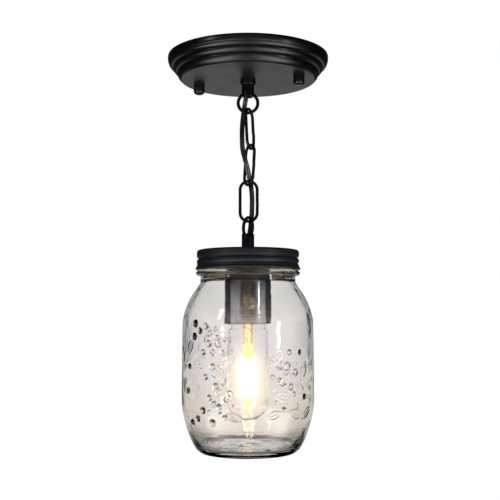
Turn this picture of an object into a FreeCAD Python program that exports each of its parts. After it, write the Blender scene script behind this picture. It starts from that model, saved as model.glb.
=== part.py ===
import FreeCAD, Part
import math
import os

# A ceiling pendant: a ribbed canopy, a short chain with a cord through it, and a
# screw-lidded glass jar that holds a lamp socket and a tubular filament bulb.
# Millimetres, +Z up. The origin is the middle of the ceiling strap's top face, on the
# ceiling. +X is to the right for someone who faces the lamp, +Y is away from them.

# Fits that many pieces share
snug = 0.02  # radial, between a screw or stem and its hole
swivel_running = 0.08  # radial, between the eyelet and the strap that turns on it
rest_gap = 0.3  # between pieces that turn on each other
link_gap = 0.4  # between a link or ring and the next, before the links are tilted and moved
overrun = 5.0  # how far a cutter runs past the face that it cuts
hex_corners = 6

# Ceiling strap, screwed to the ceiling box
strap_length = 104.0
strap_width = 16.0
strap_thickness = 1.6
box_screw_spacing = 69.85
box_slot_length = 12.0
box_slot_width = 5.0

# Stud strap, which swivels under the ceiling strap on a hollow eyelet
stud_strap_turn = -20.6
stud_spacing = 80.0
swivel_gap = 0.2
eyelet_bore = 9.2
eyelet_wall = 1.3
eyelet_flange = 1.9
eyelet_flange_thickness = 0.8

# Canopy studs, their lock nuts and the ground screw
stud_diameter = 4.0
stud_length = 20.5
stud_nut_flats = 7.0
stud_nut_height = 3.2
ground_screw_offset = 19.0
ground_screw_diameter = 3.5
ground_head_diameter = 7.0
ground_head_height = 2.2
ground_slot_width = 1.0
ground_slot_depth = 0.9

# Canopy: a pressed steel pan with three rolled ribs round its flank
canopy_diameter = 120.2
canopy_depth = 17.5
canopy_sheet = 0.8
canopy_rim_height = 4.0
canopy_plate_diameter = 99.8
rib_count = 3
rib_bulge = 1.3
rib_groove_inset = 0.5
stud_hole_clearance = 0.4

# Cap nuts under the canopy
cap_nut_diameter = 8.4
cap_nut_length = 7.3
cap_nut_dome = 2.6
cap_nut_bore_depth = 5.6
cap_nut_flat_share = 0.25

# Loops: a ring of wire on a short tube, with a threaded stem behind it
loop_tube_diameter = 9.3
loop_tube_bore = 7.2
loop_bore_depth = 8.8
loop_edge_break = 0.5
loop_stem_diameter = 7.8
loop_stem_bore = 5.2
loop_ring_radius = 7.35
loop_wire = 2.5
loop_ring_drop = 4.6
upper_tube_length = 12.5
lower_tube_length = 13.0
stem_proud = 0.8
stem_hole_clearance = 0.1
collar_diameter = 11.5
collar_height = 3.6
collar_edge_break = 0.4
washer_diameter = 16.0
washer_thickness = 1.0
loop_nut_flats = 13.0
loop_nut_height = 5.0
lower_loop_turn = -62.5

# Chain links: cut wire bent to a stadium, with the cut on the right leg
link_length = 32.3
link_width = 15.0
link_wire = 2.3
link_turns = {"a": 67.0, "b": -60.0, "c": 0.0}
link_tilts = {"a": 2.8, "b": -3.2, "c": 0.0}
link_shifts = {"a": 0.6, "b": 1.9, "c": 0.5}
seam_gap = 0.25
seam_leans = {"a": 0.65, "b": 0.25, "c": 0.1}
seam_height_shares = {"a": 0.32, "b": 0.55, "c": 0.42}

# Cord, which the chain holds from the canopy to the socket
cord_diameter = 3.4
bend_share = 0.45
cord_route = [
    (0.0, 0.0, -6.0),
    (0.0, 0.0, -16.5),
    (-1.3, 0.2, -29.5),
    (-2.9, 3.4, -38.0),
    (-3.9, 3.0, -46.0),
    (-4.5, 1.0, -55.0),
    (-4.4, -0.7, -63.0),
    (-4.1, -1.3, -70.5),
    (-2.0, -0.8, -78.0),
    (-0.2, 1.0, -84.5),
    (1.0, 3.2, -90.5),
    (2.3, 3.7, -97.0),
    (3.1, 2.6, -105.0),
    (3.0, 2.1, -113.0),
    (2.8, 3.3, -119.5),
    (2.2, 3.3, -125.0),
    (1.4, 1.5, -130.5),
    (0.5, 0.4, -136.5),
    (0.0, 0.0, -146.5),
    (0.0, 0.0, -154.8),
]
lead_diameter = 1.7
lead_tip_diameter = 0.9
lead_rise = 12.0
lead_tip_length = 6.0
lead_spread = 1.3

# Screw lid: a rolled band over a flat disc
band_diameter = 75.5
band_sheet = 0.5
band_height = 14.5
band_corner = 1.8
band_mouth_diameter = 61.0
band_bead_diameter = 77.6
band_bead_height = 2.6
band_bead_share = 0.4
disc_thickness = 0.6
disc_clearance = 0.5

# Jar seal and jar
seal_thickness = 1.2
seal_width = 4.6
seal_gap = 0.2
jar_finish_diameter = 69.2
jar_rim_rounding = 1.4
jar_bead_diameter = 76.6
jar_bead_height = 4.2
jar_wall = 2.9
jar_finish_wall = 3.6
jar_floor = 4.0
jar_neck_diameter = 69.9
jar_neck_height = 4.2
jar_neck_bend_drop = 5.4
jar_waist_diameter = 78.3
jar_waist_drop = 11.3
jar_shoulder_diameter = 95.8
jar_shoulder_bend_drop = 22.7
jar_shoulder_drop = 35.0
jar_body_diameter = 96.5
jar_body_drop = 67.4
jar_heel_top_drop = 90.2
jar_heel_bend_diameter = 95.7
jar_heel_bend_drop = 109.3
jar_foot_diameter = 77.0
jar_foot_drop = 123.9
jar_rest_bend_diameter = 71.6
jar_rest_diameter = 66.0
jar_bottom_drop = 128.0
jar_punt_rise = 2.8
jar_punt_diameter = 56.0
punt_bend_share = 0.8

# Lamp socket
socket_diameter = 34.6
socket_wall = 1.2
socket_length = 53.2
socket_corner = 2.2
socket_nut_flats = 12.0
socket_nut_height = 4.0
core_top_drop = 16.4
core_length = 34.4
core_web = 5.0
shell_bore = 27.0
shell_sheet = 0.4
shell_length = 25.0
shell_hole = 11.0
contact_diameter = 8.4
contact_thickness = 1.2
contact_rivet_diameter = 3.2
terminal_offset = 9.6
terminal_head_diameter = 5.6
terminal_head_height = 1.8
terminal_diameter = 3.2
terminal_depth = 4.2
socket_lead_end = 8.6

# Bulb with a screw base and four upright filament rods
bulb_contact_gap = 0.3
bulb_tip_diameter = 9.0
bulb_tip_height = 1.5
bulb_insulator_height = 3.0
bulb_insulator_wide = 20.0
bulb_base_diameter = 26.2
bulb_base_sheet = 0.5
bulb_base_length = 22.0
bulb_diameter = 30.0
bulb_glass_wall = 0.9
bulb_neck_length = 7.0
bulb_shoulder_length = 15.0
bulb_length = 100.0
bulb_dome_height = 12.0
stem_flare_rim = 1.0
stem_rod_diameter = 4.6
stem_rod_length = 29.0
filament_count = 4
filament_length = 25.4
filament_width = 1.5
filament_thickness = 0.9
filament_circle = 9.6
filament_top_drop = 57.2
carrier_wire = 0.7
carrier_tail = 12.0

# Directions and shared numbers
Vector = FreeCAD.Vector
origin = Vector(0, 0, 0)
up = Vector(0, 0, 1)
round_weight = math.sqrt(1 / 2)
full_turn = 360.0
half_turn = 180.0
ceiling_level = 0.0

# Places, heights and radii that follow from the sizes above
stud_places = [side * stud_spacing / 2 for side in (-1, 1)]
terminal_places = [side * terminal_offset for side in (-1, 1)]
stud_strap_length = stud_spacing + strap_width
stud_strap_top = -strap_thickness - swivel_gap
stud_strap_bottom = stud_strap_top - strap_thickness
plate_bottom = -canopy_depth
plate_top = plate_bottom + canopy_sheet
stud_bottom = stud_strap_top - stud_length
upper_tube_end = plate_bottom - upper_tube_length
upper_ring_centre = upper_tube_end - loop_ring_drop
upper_ring_low = upper_ring_centre - loop_ring_radius
link_reach = link_length - link_wire
link_middle_radius = (link_width - link_wire) / 2
first_link_top = upper_ring_low + (loop_wire + link_wire) / 2 + link_gap
link_step = link_reach - link_wire - link_gap
link_tops = {name: first_link_top - step * link_step for step, name in enumerate("abc")}
last_link_low = link_tops["c"] - link_reach
lower_ring_high = last_link_low + (loop_wire + link_wire) / 2 + link_gap
lower_ring_centre = lower_ring_high - loop_ring_radius
lower_tube_end = lower_ring_centre - loop_ring_drop
disc_top = lower_tube_end - lower_tube_length
disc_bottom = disc_top - disc_thickness
band_top = disc_top + band_sheet
band_bottom = band_top - band_height
seal_top = disc_bottom - seal_gap
seal_bottom = seal_top - seal_thickness
jar_top = seal_bottom - seal_gap
jar_bead_top = band_bottom - rest_gap
jar_neck_top = jar_bead_top - jar_bead_height
socket_top = disc_bottom
socket_bottom = socket_top - socket_length
socket_roof = socket_top - socket_wall
socket_nut_bottom = socket_roof - socket_nut_height
core_top = socket_top - core_top_drop
core_floor = core_top - core_web
contact_face = core_floor - contact_thickness
bulb_top = contact_face - bulb_contact_gap
bulb_insulator_top = bulb_top - bulb_tip_height
bulb_base_top = bulb_insulator_top - bulb_insulator_height
bulb_glass_top = bulb_base_top - bulb_base_length
bulb_neck_radius = bulb_base_diameter / 2 - bulb_base_sheet - snug
bulb_neck_top = bulb_glass_top + bulb_neck_length
stem_bottom = bulb_glass_top - stem_rod_length
bulb_bottom = bulb_top - bulb_length
filament_top = bulb_top - filament_top_drop
filament_bottom = filament_top - filament_length


def bend(corner, end):
    """An outline step: a quarter-round curve that leaves towards the corner and ends at the end."""
    return ("bend", corner, end)


def lathe(start, *steps):
    """A solid turned from (radius, height) points, with bends between some of them."""
    here = Vector(start[0], 0, start[1])
    edges = []
    for step in steps + (start,):
        curved = step[0] == "bend"
        radius, height = step[2] if curved else step
        end = Vector(radius, 0, height)
        if curved:
            curve = Part.BezierCurve()
            curve.setPoles([here, Vector(step[1][0], 0, step[1][1]), end])
            curve.setWeight(2, round_weight)
            edges.append(curve.toShape())
        elif not end.isEqual(here, 0):
            edges.append(Part.makeLine(here, end))
        here = end
    face = Part.Face(Part.Wire(edges))
    return face.revolve(origin, up, full_turn)


def rod(diameter, low, high, x=0, y=0):
    """An upright cylinder between two heights."""
    return Part.makeCylinder(diameter / 2, high - low, Vector(x, y, low), up)


def tube(outer, inner, low, high):
    """An upright pipe between two heights."""
    return rod(outer, low, high).cut(rod(inner, low - overrun, high + overrun))


def strip(length, width, low, high, x=0):
    """A flat bar along X with round ends."""
    reach = (length - width) / 2
    half = width / 2
    back = Part.makeLine(Vector(-reach, half, low), Vector(reach, half, low))
    right = Part.Arc(Vector(reach, half, low), Vector(reach + half, 0, low), Vector(reach, -half, low))
    front = Part.makeLine(Vector(reach, -half, low), Vector(-reach, -half, low))
    left = Part.Arc(Vector(-reach, -half, low), Vector(-reach - half, 0, low), Vector(-reach, half, low))
    face = Part.Face(Part.Wire([back, right.toShape(), front, left.toShape()]))
    bar = face.extrude(Vector(0, 0, high - low))
    bar.translate(Vector(x, 0, 0))
    return bar


def hex_nut(flats, bore, low, high, x=0):
    """A hexagon nut with a plain bore."""
    corner = flats / 2 / math.cos(math.pi / hex_corners)
    turns = [2 * math.pi * k / hex_corners for k in range(hex_corners + 1)]
    ring = [Vector(corner * math.cos(a), corner * math.sin(a), low) for a in turns]
    nut = Part.Face(Part.makePolygon(ring)).extrude(Vector(0, 0, high - low))
    nut = nut.cut(rod(bore, low - overrun, high + overrun))
    nut.translate(Vector(x, 0, 0))
    return nut


def turned(shape, degrees):
    """The shape, turned about the lamp's upright axis."""
    shape.rotate(origin, up, degrees)
    return shape


def swept(name, points, diameter):
    """A round tube along straight runs joined by tangent arcs, each as large as its two runs allow."""
    edges = []
    radii = []
    here = points[0]
    for before, corner, after in zip(points, points[1:], points[2:]):
        run_in = corner - before
        run_out = after - corner
        turn = run_in.getAngle(run_out)
        cut = bend_share * min(run_in.Length, run_out.Length)
        radius = cut / math.tan(turn / 2)
        radii.append(radius)
        first = corner - run_in.normalize() * cut
        last = corner + run_out.normalize() * cut
        bisector = ((first + last) / 2 - corner).normalize()
        sag = radius / math.cos(turn / 2) - radius
        edges.append(Part.makeLine(here, first))
        edges.append(Part.Arc(first, corner + bisector * sag, last).toShape())
        here = last
    edges.append(Part.makeLine(here, points[-1]))
    spine = Part.Wire(edges)
    ring = Part.Wire([Part.makeCircle(diameter / 2, points[0], points[1] - points[0])])
    shape = spine.makePipeShell([ring], True, False)
    fill = shape.Volume / spine.Length / (math.pi * diameter * diameter / 4)
    print(name, "length", round(spine.Length, 1), "least bend radius", round(min(radii), 1), "fill", fill)
    return shape


def ceiling_strap():
    """The bar that the ceiling box's two screws hold."""
    bar = strip(strap_length, strap_width, -strap_thickness, 0)
    cuts = [rod(eyelet_bore + 2 * (eyelet_wall + snug), -strap_thickness - overrun, overrun)]
    for side in (-1, 1):
        place = side * box_screw_spacing / 2
        cuts.append(strip(box_slot_length, box_slot_width, -strap_thickness - overrun, overrun, place))
    return bar.cut(cuts)


def swivel_eyelet():
    """A hollow rivet through both straps, with a flange at each end."""
    inner = eyelet_bore / 2
    neck = inner + eyelet_wall
    flange = neck + eyelet_flange
    low_flange = stud_strap_bottom - swivel_gap
    return lathe(
        (inner, eyelet_flange_thickness),
        (flange, eyelet_flange_thickness),
        (flange, ceiling_level),
        (neck, ceiling_level),
        (neck, low_flange),
        (flange, low_flange),
        (flange, low_flange - eyelet_flange_thickness),
        (inner, low_flange - eyelet_flange_thickness),
    )


def stud_strap():
    """The bar that carries the canopy studs and the ground screw."""
    bar = strip(stud_strap_length, strap_width, stud_strap_bottom, stud_strap_top)
    low, high = stud_strap_bottom - overrun, stud_strap_top + overrun
    swivel_hole = eyelet_bore + 2 * (eyelet_wall + swivel_running)
    cuts = [rod(swivel_hole, low, high)]
    cuts += [rod(stud_diameter + 2 * snug, low, high, x) for x in stud_places]
    cuts.append(rod(ground_screw_diameter + 2 * snug, low, high, ground_screw_offset))
    return turned(bar.cut(cuts), stud_strap_turn)


def canopy_studs():
    """Two threaded studs, from the stud strap into the cap nuts."""
    studs = [rod(stud_diameter, stud_bottom, stud_strap_top, x) for x in stud_places]
    return turned(Part.makeCompound(studs), stud_strap_turn)


def stud_nuts():
    """Two lock nuts under the stud strap."""
    low = stud_strap_bottom - stud_nut_height
    nuts = [hex_nut(stud_nut_flats, stud_diameter + 2 * snug, low, stud_strap_bottom, x) for x in stud_places]
    return turned(Part.makeCompound(nuts), stud_strap_turn)


def ground_screw():
    """A slotted screw in the stud strap, for the ground wire."""
    low = stud_strap_bottom - ground_head_height
    head = rod(ground_head_diameter, low, stud_strap_bottom, ground_screw_offset)
    shank = rod(ground_screw_diameter, stud_strap_bottom, stud_strap_top, ground_screw_offset)
    half = ground_head_diameter / 2 + overrun
    corner = Vector(ground_screw_offset - half, -ground_slot_width / 2, low - overrun)
    slot = Part.makeBox(2 * half, ground_slot_width, overrun + ground_slot_depth, corner)
    return turned(head.fuse(shank).cut(slot).removeSplitter(), stud_strap_turn)


def rib_steps(shift_in, shift_up):
    """The flank's ribs as (crest, groove) pairs, from the rim to the plate, moved in and up."""
    top_radius, top = canopy_diameter / 2, -canopy_rim_height
    low_radius, low = canopy_plate_diameter / 2, plate_bottom
    run, fall = top_radius - low_radius, top - low
    slope = math.hypot(run, fall)

    def point(share, out):
        radius = top_radius - run * share + out * fall / slope
        return (radius - shift_in, top - fall * share - out * run / slope + shift_up)

    steps = []
    for rib in range(rib_count):
        middle, end = (rib + 1 / 2) / rib_count, (rib + 1) / rib_count
        inset = 0 if end == 1 else rib_groove_inset
        steps.append((point(middle, rib_bulge), point(end, -inset)))
    return steps


def canopy():
    """The pan: a plain rim, three rolled ribs and a flat plate with its holes."""
    outer = rib_steps(0, 0)
    inner = rib_steps(canopy_sheet, canopy_sheet)
    rim = canopy_diameter / 2
    hole = loop_stem_diameter / 2 + stem_hole_clearance
    ends = [(rim - canopy_sheet, canopy_sheet - canopy_rim_height)] + [groove for _, groove in inner]
    climb = [bend(inner[rib][0], ends[rib]) for rib in reversed(range(rib_count))]
    pan = lathe(
        (rim - canopy_sheet, 0),
        (rim, 0),
        (rim, -canopy_rim_height),
        *[bend(crest, groove) for crest, groove in outer],
        (hole, plate_bottom),
        (hole, plate_top),
        ends[-1],
        *climb,
    )
    low, high = plate_bottom - overrun, plate_top + overrun
    holes = [rod(stud_diameter + 2 * stud_hole_clearance, low, high, x) for x in stud_places]
    return pan.cut(turned(Part.makeCompound(holes), stud_strap_turn))


def cap_nut(side):
    """A round nut with a domed blind end, drawn up against the plate."""
    radius = cap_nut_diameter / 2
    bore = stud_diameter / 2 + snug
    low = plate_bottom - cap_nut_length
    roof = plate_bottom - cap_nut_bore_depth
    nut = lathe(
        (bore, plate_bottom),
        (radius, plate_bottom),
        (radius, low + cap_nut_dome),
        bend((radius, low), (cap_nut_flat_share * radius, low)),
        (0, low),
        (0, roof),
        (bore, roof),
    )
    nut.translate(Vector(side * stud_spacing / 2, 0, 0))
    return turned(nut, stud_strap_turn)


def loop(tube_length, stem_length):
    """A loop that hangs from height zero: its stem above, its tube and ring below."""
    outer = loop_tube_diameter / 2
    bore = loop_tube_bore / 2
    stem = loop_stem_diameter / 2
    stem_bore = loop_stem_bore / 2
    shoulder = loop_bore_depth - tube_length
    body = lathe(
        (stem_bore, stem_length),
        (stem, stem_length),
        (stem, 0),
        (outer, 0),
        (outer, loop_edge_break - tube_length),
        (outer - loop_edge_break, -tube_length),
        (bore, -tube_length),
        (bore, shoulder),
        (stem_bore, shoulder + bore - stem_bore),
    )
    middle = Vector(0, 0, -tube_length - loop_ring_drop)
    start_angle = math.asin((bore + outer) / 2 / loop_ring_radius)
    start = Vector(math.sin(start_angle), 0, math.cos(start_angle)) * loop_ring_radius
    along = Vector(math.cos(start_angle), 0, -math.sin(start_angle))
    section = Part.Face(Part.Wire([Part.makeCircle(loop_wire / 2, middle + start, along)]))
    sweep = full_turn - 2 * math.degrees(start_angle)
    ring = section.revolve(middle, Vector(0, 1, 0), sweep)
    passage = rod(loop_tube_bore, -tube_length - loop_wire, shoulder)
    return body.fuse(ring.cut(passage)).removeSplitter()


def upper_loop():
    """The loop under the canopy."""
    shape = loop(upper_tube_length, canopy_sheet + washer_thickness + loop_nut_height + stem_proud)
    shape.translate(Vector(0, 0, plate_bottom))
    return shape


def lower_loop():
    """The loop on the lid, upside down, with its stem in the socket."""
    shape = loop(lower_tube_length, disc_thickness + socket_wall + socket_nut_height + stem_proud)
    shape.rotate(origin, Vector(1, 0, 0), half_turn)
    shape.translate(Vector(0, 0, disc_top))
    return turned(shape, lower_loop_turn)


def collar_ring():
    """A ring round the upper tube, up against the plate."""
    inner = loop_tube_diameter / 2 + snug
    outer = collar_diameter / 2
    low = plate_bottom - collar_height
    return lathe(
        (inner, plate_bottom),
        (outer, plate_bottom),
        (outer, low + collar_edge_break),
        (outer - collar_edge_break, low),
        (inner, low),
    )


def chain_link(name):
    """One link: two round ends, one whole leg and one that is cut, with its lower end sprung out."""
    radius = link_wire / 2
    side = link_middle_radius
    top = link_tops[name] - side
    low = link_tops[name] - link_reach + side
    seam = low + (top - low) * seam_height_shares[name]
    lean = seam_leans[name]
    section = Part.Face(Part.Wire([Part.makeCircle(radius, Vector(side, 0, top), up)]))
    round_top = section.revolve(Vector(0, 0, top), Vector(0, -1, 0), half_turn)
    section = Part.Face(Part.Wire([Part.makeCircle(radius, Vector(side, 0, low), up)]))
    round_low = section.revolve(Vector(0, 0, low), Vector(0, 1, 0), half_turn)
    leg = Part.makeCylinder(radius, top - low, Vector(-side, 0, low), up)
    upper = Part.makeCylinder(radius, top - seam - seam_gap, Vector(side, 0, seam + seam_gap), up)
    foot = Vector(side, 0, low)
    rise = Vector(side + lean, 0, seam) - foot
    lower = Part.makeCylinder(radius, rise.Length, foot, rise)
    knuckle = Part.makeSphere(radius, foot)
    link = round_top.fuse([leg, round_low, upper, lower, knuckle]).removeSplitter()
    turned(link, link_turns[name])
    link.rotate(Vector(0, 0, link_tops[name]), Vector(0, -1, 0), link_tilts[name])
    link.translate(Vector(link_shifts[name], 0, 0))
    return link


def cord():
    """The cord, from above the upper stem to below the lower one."""
    return swept("cord", [Vector(*point) for point in cord_route], cord_diameter)


def lead(side):
    """One conductor, from the cord's upper end through the eyelet."""
    end = cord_route[0][2]
    x = side * lead_diameter / 2
    out = side * lead_spread
    third = (lead_rise - end) / 3
    points = [
        Vector(x, 0, end),
        Vector(x, 0, end + third),
        Vector(x + out, 0, lead_rise - third),
        Vector(x + out, 0, lead_rise),
    ]
    return swept("lead", points, lead_diameter)


def lead_tips():
    """The bared ends of the two conductors."""
    tips = []
    for side in (-1, 1):
        x = side * (lead_diameter / 2 + lead_spread)
        tips.append(rod(lead_tip_diameter, lead_rise, lead_rise + lead_tip_length, x))
    return Part.makeCompound(tips)


def lid_band():
    """The screw band: a flat flange, a rounded corner, the wall and a rolled bottom bead."""
    outer = band_diameter / 2
    inner = outer - band_sheet
    mouth = band_mouth_diameter / 2
    bead = band_bead_diameter / 2
    bead_middle = band_bottom + band_bead_height * band_bead_share
    return lathe(
        (mouth, band_top),
        (outer - band_corner, band_top),
        bend((outer, band_top), (outer, band_top - band_corner)),
        (outer, band_bottom + band_bead_height),
        (bead, bead_middle),
        bend((bead, band_bottom), (outer, band_bottom)),
        (inner, band_bottom),
        (inner, band_top - band_corner),
        bend((inner, disc_top), (outer - band_corner, disc_top)),
        (mouth, disc_top),
    )


def lid_disc():
    """The flat disc under the band's flange, with the hole for the loop's stem."""
    outer = band_diameter / 2 - band_corner - disc_clearance
    return tube(2 * outer, loop_stem_diameter + 2 * stem_hole_clearance, disc_bottom, disc_top)


def jar_seal():
    """A flat rubber ring between the disc and the jar's rim."""
    return tube(jar_finish_diameter, jar_finish_diameter - 2 * seal_width, seal_bottom, seal_top)


def jar_point(diameter, drop, wall):
    """A point of the jar's outline, at a drop below the neck's top, moved in by a wall."""
    return (diameter / 2 - wall, jar_neck_top - drop)


def jar():
    """The glass: threaded finish, bead, neck, round shoulder, body, heel and pushed-up floor."""
    finish = jar_finish_diameter / 2
    bore = finish - jar_finish_wall
    bead = jar_bead_diameter / 2
    neck = jar_neck_diameter / 2
    rounding = jar_rim_rounding
    bead_middle = jar_neck_top + jar_bead_height / 2
    bottom = jar_neck_top - jar_bottom_drop
    punt_edge = jar_punt_diameter / 2
    punt_bend = punt_edge * punt_bend_share
    punt = bottom + jar_punt_rise
    floor = bottom + jar_floor
    skin = []
    for wall in (0, jar_wall):
        skin.append(
            [
                jar_point(jar_neck_diameter, jar_neck_height, wall),
                jar_point(jar_neck_diameter, jar_neck_bend_drop, wall),
                jar_point(jar_waist_diameter, jar_waist_drop, wall),
                jar_point(jar_shoulder_diameter, jar_shoulder_bend_drop, wall),
                jar_point(jar_shoulder_diameter, jar_shoulder_drop, wall),
                jar_point(jar_body_diameter, jar_body_drop, wall),
                jar_point(jar_body_diameter, jar_heel_top_drop, wall),
                jar_point(jar_heel_bend_diameter, jar_heel_bend_drop, wall),
            ]
        )
    out, inn = skin
    foot = jar_point(jar_foot_diameter, jar_foot_drop, 0)
    rest_bend = (jar_rest_bend_diameter / 2, bottom)
    inner_foot = (foot[0] - jar_wall, foot[1] + jar_floor - jar_wall / 2)
    return lathe(
        (bore + rounding, jar_top),
        (finish - rounding, jar_top),
        bend((finish, jar_top), (finish, jar_top - rounding)),
        (finish, jar_bead_top),
        bend((bead, jar_bead_top), (bead, bead_middle)),
        bend((bead, jar_neck_top), (neck, jar_neck_top)),
        out[0],
        bend(out[1], out[2]),
        bend(out[3], out[4]),
        out[5],
        out[6],
        bend(out[7], foot),
        bend(rest_bend, (jar_rest_diameter / 2, bottom)),
        (punt_edge, bottom),
        bend((punt_bend, punt), (0, punt)),
        (0, floor + jar_punt_rise),
        bend((punt_bend, floor + jar_punt_rise), (punt_edge, floor)),
        bend((rest_bend[0] - jar_wall / 2, floor), inner_foot),
        bend(inn[7], inn[6]),
        inn[5],
        inn[4],
        bend(inn[3], inn[2]),
        bend(inn[1], (bore, jar_neck_top)),
        (bore, jar_top - rounding),
        bend((bore, jar_top), (bore + rounding, jar_top)),
    )


def socket_shell():
    """The deep cup that hangs from the lid and hides the socket's parts."""
    outer = socket_diameter / 2
    inner = outer - socket_wall
    hole = loop_stem_diameter / 2 + stem_hole_clearance
    return lathe(
        (hole, socket_top),
        (outer - socket_corner, socket_top),
        bend((outer, socket_top), (outer, socket_top - socket_corner)),
        (outer, socket_bottom),
        (inner, socket_bottom),
        (inner, socket_roof),
        (hole, socket_roof),
    )


def socket_core():
    """The ceramic body round the screw shell, with holes for the contact and the terminals."""
    outer = socket_diameter / 2 - socket_wall - snug
    inner = shell_bore / 2 + shell_sheet + snug
    low = core_top - core_length
    core = lathe(
        (0, core_top),
        (outer, core_top),
        (outer, low),
        (inner, low),
        (inner, core_floor),
        (0, core_floor),
    )
    cuts = [rod(contact_rivet_diameter + 2 * snug, core_floor - overrun, core_top + overrun)]
    for x in terminal_places:
        cuts.append(rod(terminal_diameter + 2 * snug, core_top - terminal_depth, core_top + overrun, x))
    return core.cut(cuts)


def screw_shell():
    """The brass cup that the bulb screws into."""
    inner = shell_bore / 2
    outer = inner + shell_sheet
    return lathe(
        (shell_hole / 2, core_floor),
        (outer, core_floor),
        (outer, core_floor - shell_length),
        (inner, core_floor - shell_length),
        (inner, core_floor - shell_sheet),
        (shell_hole / 2, core_floor - shell_sheet),
    )


def centre_contact():
    """The brass contact under the core's web, and its rivet."""
    head = rod(contact_diameter, contact_face, core_floor)
    return head.fuse(rod(contact_rivet_diameter, core_floor, core_top)).removeSplitter()


def terminal_screws():
    """Two brass screws on top of the core."""
    screws = []
    for x in terminal_places:
        head = rod(terminal_head_diameter, core_top, core_top + terminal_head_height, x)
        shank = rod(terminal_diameter, core_top - terminal_depth, core_top, x)
        screws.append(head.fuse(shank).removeSplitter())
    return Part.makeCompound(screws)


def socket_lead(side):
    """One conductor, from the cord's lower end to its terminal screw."""
    start = cord_route[-1][2]
    x = side * lead_diameter / 2
    rest = core_top + terminal_head_height + lead_diameter / 2
    fall = start - rest
    points = [
        Vector(x, 0, start),
        Vector(x, 0, start - fall / 2),
        Vector(side * socket_lead_end / 2, 0, rest),
        Vector(side * socket_lead_end, 0, rest),
    ]
    return swept("socket lead", points, lead_diameter)


def socket_nut():
    """The nut that holds the lid disc and the socket on the lower stem."""
    return hex_nut(socket_nut_flats, loop_stem_diameter + 2 * snug, socket_nut_bottom, socket_roof)


def loop_washer():
    """The washer inside the canopy."""
    return tube(washer_diameter, loop_stem_diameter + 2 * snug, plate_top, plate_top + washer_thickness)


def loop_nut():
    """The nut inside the canopy."""
    low = plate_top + washer_thickness
    return hex_nut(loop_nut_flats, loop_stem_diameter + 2 * snug, low, low + loop_nut_height)


def bulb_tip():
    """The bulb's centre contact."""
    radius = bulb_tip_diameter / 2
    low = bulb_insulator_top
    return lathe(
        (0, bulb_top),
        bend((radius, bulb_top), (radius, low)),
        (0, low),
    )


def bulb_insulator():
    """The black glass cone between the tip and the screw base."""
    return lathe(
        (0, bulb_insulator_top),
        (bulb_tip_diameter / 2, bulb_insulator_top),
        (bulb_insulator_wide / 2, bulb_base_top),
        (0, bulb_base_top),
    )


def bulb_base():
    """The screw base, a thin metal cup with an open end round the glass."""
    outer = bulb_base_diameter / 2
    inner = outer - bulb_base_sheet
    rim = bulb_insulator_wide / 2
    return lathe(
        (0, bulb_base_top),
        (rim, bulb_base_top),
        (outer, bulb_base_top - (outer - rim)),
        (outer, bulb_glass_top),
        (inner, bulb_glass_top),
        (inner, bulb_base_top - (outer - rim)),
        (rim - bulb_base_sheet, bulb_base_top - bulb_base_sheet),
        (0, bulb_base_top - bulb_base_sheet),
    )


def bulb_glass():
    """The tubular envelope: a neck in the base, a shoulder, the tube and a round end."""
    neck = bulb_neck_radius
    outer = bulb_diameter / 2
    wall = bulb_glass_wall
    top = bulb_neck_top
    flare = bulb_glass_top - bulb_shoulder_length / 2
    shoulder = bulb_glass_top - bulb_shoulder_length
    dome = bulb_bottom + bulb_dome_height
    middle = (neck + outer) / 2
    return lathe(
        (neck - wall, top),
        (neck, top),
        (neck, bulb_glass_top),
        bend((neck, flare), (middle, flare)),
        bend((outer, flare), (outer, shoulder)),
        (outer, dome),
        bend((outer, bulb_bottom), (0, bulb_bottom)),
        (0, bulb_bottom + wall),
        bend((outer - wall, bulb_bottom + wall), (outer - wall, dome)),
        (outer - wall, shoulder),
        bend((outer - wall, flare), (middle - wall, flare)),
        bend((neck - wall, flare), (neck - wall, bulb_glass_top)),
    )


def bulb_stem():
    """The glass stem inside the bulb: a flare that closes the neck and a rod towards the filaments."""
    flare = bulb_neck_radius - bulb_glass_wall - snug
    thin = stem_rod_diameter / 2
    return lathe(
        (0, bulb_neck_top),
        (flare, bulb_neck_top),
        (flare, bulb_neck_top - stem_flare_rim),
        bend((thin, bulb_neck_top - stem_flare_rim), (thin, bulb_glass_top)),
        (thin, stem_bottom + thin),
        bend((thin, stem_bottom), (0, stem_bottom)),
    )


def filament(number):
    """One upright filament rod."""
    half_wide, half_thick = filament_width / 2, filament_thickness / 2
    corner = Vector(filament_circle / 2 - half_thick, -half_wide, filament_bottom)
    bar = Part.makeBox(filament_thickness, filament_width, filament_length, corner)
    quarter = full_turn / filament_count
    return turned(bar, quarter * (number + 1 / 2))


def filament_carrier(spoke, low, high):
    """Four spokes at one height, from a middle wire to the filaments' ends."""
    middle_wire = rod(carrier_wire, low, high)
    arms = []
    for number in range(filament_count):
        arm = Part.makeCylinder(carrier_wire / 2, filament_circle / 2, Vector(0, 0, spoke), Vector(1, 0, 0))
        arms.append(turned(arm, full_turn / filament_count * (number + 1 / 2)))
    return middle_wire.fuse(arms).removeSplitter()


def upper_carrier():
    """The wire from the stem to the filaments' upper ends."""
    spoke = filament_top + carrier_wire / 2
    return filament_carrier(spoke, spoke, stem_bottom)


def lower_carrier():
    """The wire under the filaments, with its tail towards the bulb's end."""
    spoke = filament_bottom - carrier_wire / 2
    return filament_carrier(spoke, spoke - carrier_tail, spoke)


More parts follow.
